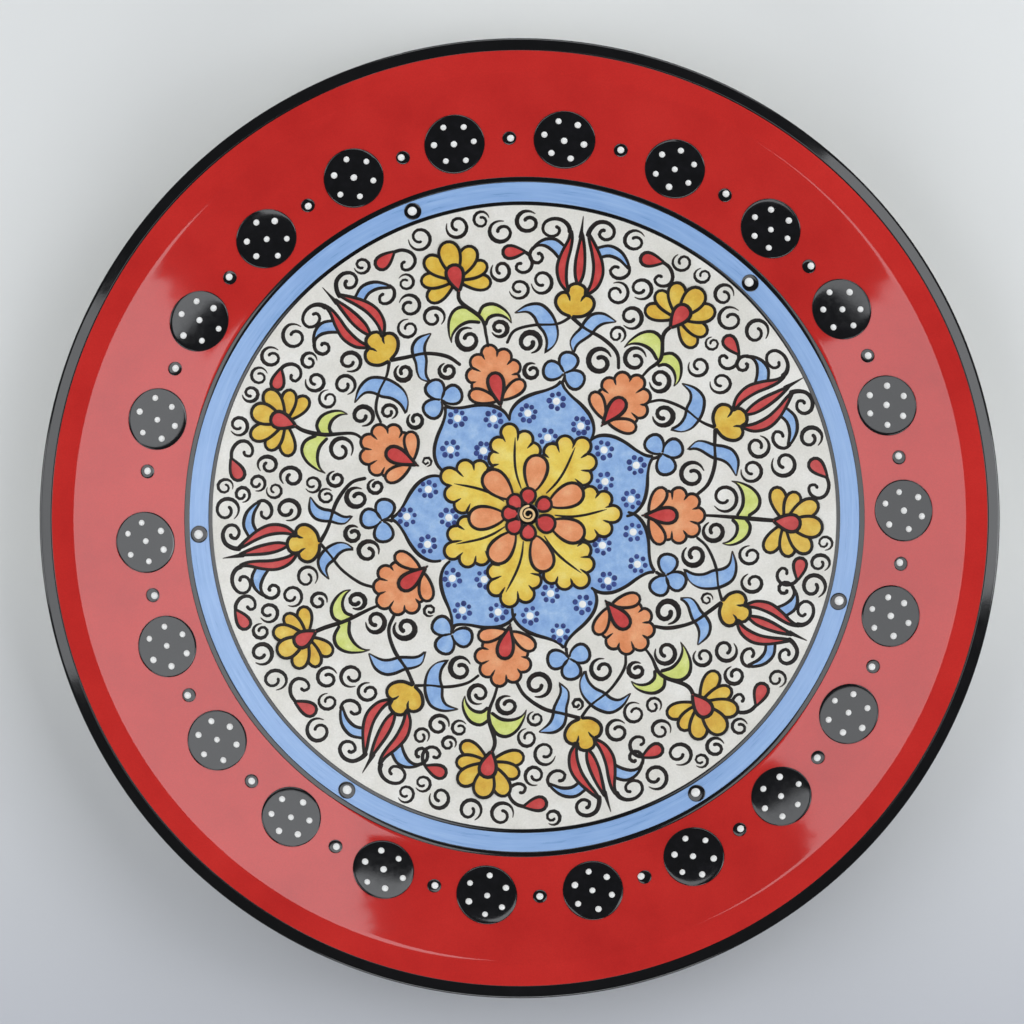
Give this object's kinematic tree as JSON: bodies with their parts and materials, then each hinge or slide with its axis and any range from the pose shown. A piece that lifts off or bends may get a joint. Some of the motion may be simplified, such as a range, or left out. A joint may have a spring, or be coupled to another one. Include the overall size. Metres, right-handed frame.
{
  "type": "decorative plate",
  "caption": "Round footed dish with a sloping rim, glazed in bands round a painted medallion, to stand, hang or serve from.",
  "frame": {"origin": "middle of the foot ring's resting face", "axes": "+Z along the dish's axis of revolution, out of its painted face; +X and +Y in the resting plane, with +Y towards the top of the painting"},
  "size_m": [0.3, 0.3, 0.0365],
  "materials": {
    "clay": "unglazed fired buff clay, matt and slightly gritty",
    "back_glaze": "glossy off-white glaze with faint pooling",
    "black_glaze": "glossy black glaze",
    "red_glaze": "deep glossy red glaze",
    "blue_glaze": "satin mid-blue glaze with brush streaks",
    "white_ground": "satin off-white ground",
    "black_enamel": "raised black enamel with a fine grain",
    "white_enamel": "raised satin white enamel",
    "blue_enamel": "raised mid-blue enamel",
    "dark_blue_enamel": "raised dark blue enamel",
    "yellow_enamel": "raised warm yellow enamel",
    "orange_enamel": "raised soft orange enamel",
    "red_enamel": "raised brick-red enamel",
    "lime_enamel": "raised lime-green enamel"
  },
  "bodies": {
    "root": {"clay_body": "clay", "back_glaze": "back_glaze", "foot_recess_glaze": "back_glaze", "lip_band": "black_glaze", "rim_glaze": "red_glaze", "outer_border_line": "black_glaze", "blue_border": "blue_glaze", "inner_border_line": "black_glaze", "medallion_ground": "white_ground", "rim_disc_01": "black_enamel", "rim_disc_02": "black_enamel", "rim_disc_03": "black_enamel", "rim_disc_04": "black_enamel", "rim_disc_05": "black_enamel", "rim_disc_06": "black_enamel", "rim_disc_07": "black_enamel", "rim_disc_08": "black_enamel", "rim_disc_09": "black_enamel", "rim_disc_10": "black_enamel", "rim_disc_11": "black_enamel", "rim_disc_12": "black_enamel", "rim_disc_13": "black_enamel", "rim_disc_14": "black_enamel", "rim_disc_15": "black_enamel", "rim_disc_16": "black_enamel", "rim_disc_17": "black_enamel", "rim_disc_18": "black_enamel", "rim_disc_19": "black_enamel", "rim_disc_20": "black_enamel", "rim_disc_21": "black_enamel", "rim_disc_22": "black_enamel", "rim_dot_01": "black_enamel", "rim_dot_02": "black_enamel", "rim_dot_03": "black_enamel", "rim_dot_04": "black_enamel", "rim_dot_05": "black_enamel", "rim_dot_06": "black_enamel", "rim_dot_07": "black_enamel", "rim_dot_08": "black_enamel", "rim_dot_09": "black_enamel", "rim_dot_10": "black_enamel", "rim_dot_11": "black_enamel", "rim_dot_12": "black_enamel", "rim_dot_13": "black_enamel", "rim_dot_14": "black_enamel", "rim_dot_15": "black_enamel", "rim_dot_16": "black_enamel", "rim_dot_17": "black_enamel", "rim_dot_18": "black_enamel", "rim_dot_19": "black_enamel", "rim_dot_20": "black_enamel", "rim_dot_21": "black_enamel", "rim_dot_22": "black_enamel", "border_dot_1": "black_enamel", "border_dot_2": "black_enamel", "border_dot_3": "black_enamel", "border_dot_4": "black_enamel", "border_dot_5": "black_enamel", "border_dot_6": "black_enamel"}
  },
  "joints": []
}
